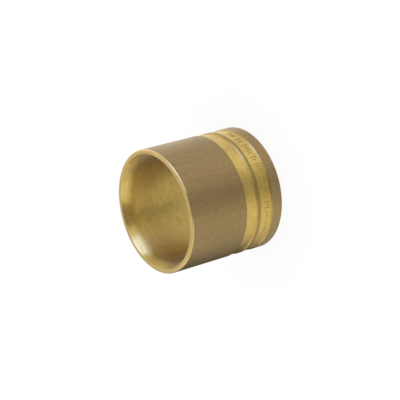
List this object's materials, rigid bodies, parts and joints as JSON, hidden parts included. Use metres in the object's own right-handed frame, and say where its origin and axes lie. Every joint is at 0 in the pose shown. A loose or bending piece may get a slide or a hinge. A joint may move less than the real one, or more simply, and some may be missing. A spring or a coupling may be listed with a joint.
{
  "type": "press sleeve",
  "caption": "Short turned brass press sleeve for plastic pipe, with a straight bore, a conical lead-in at the mouth and two shallow grooves beside a rear collar.",
  "frame": {"origin": "centre of the rear face, at the bottom, where the sleeve stands on its end", "axes": "+Z is the sleeve's axis, from the rear face to the mouth; the sleeve is a ring, so X and Y are any two directions across it"},
  "size_m": [0.0468, 0.0468, 0.0414],
  "materials": {
    "brass": "dull drawn skin outside; turned and brighter in the grooves, on both end faces and in the bore"
  },
  "bodies": {
    "root": {"press_sleeve": "brass"}
  },
  "joints": []
}
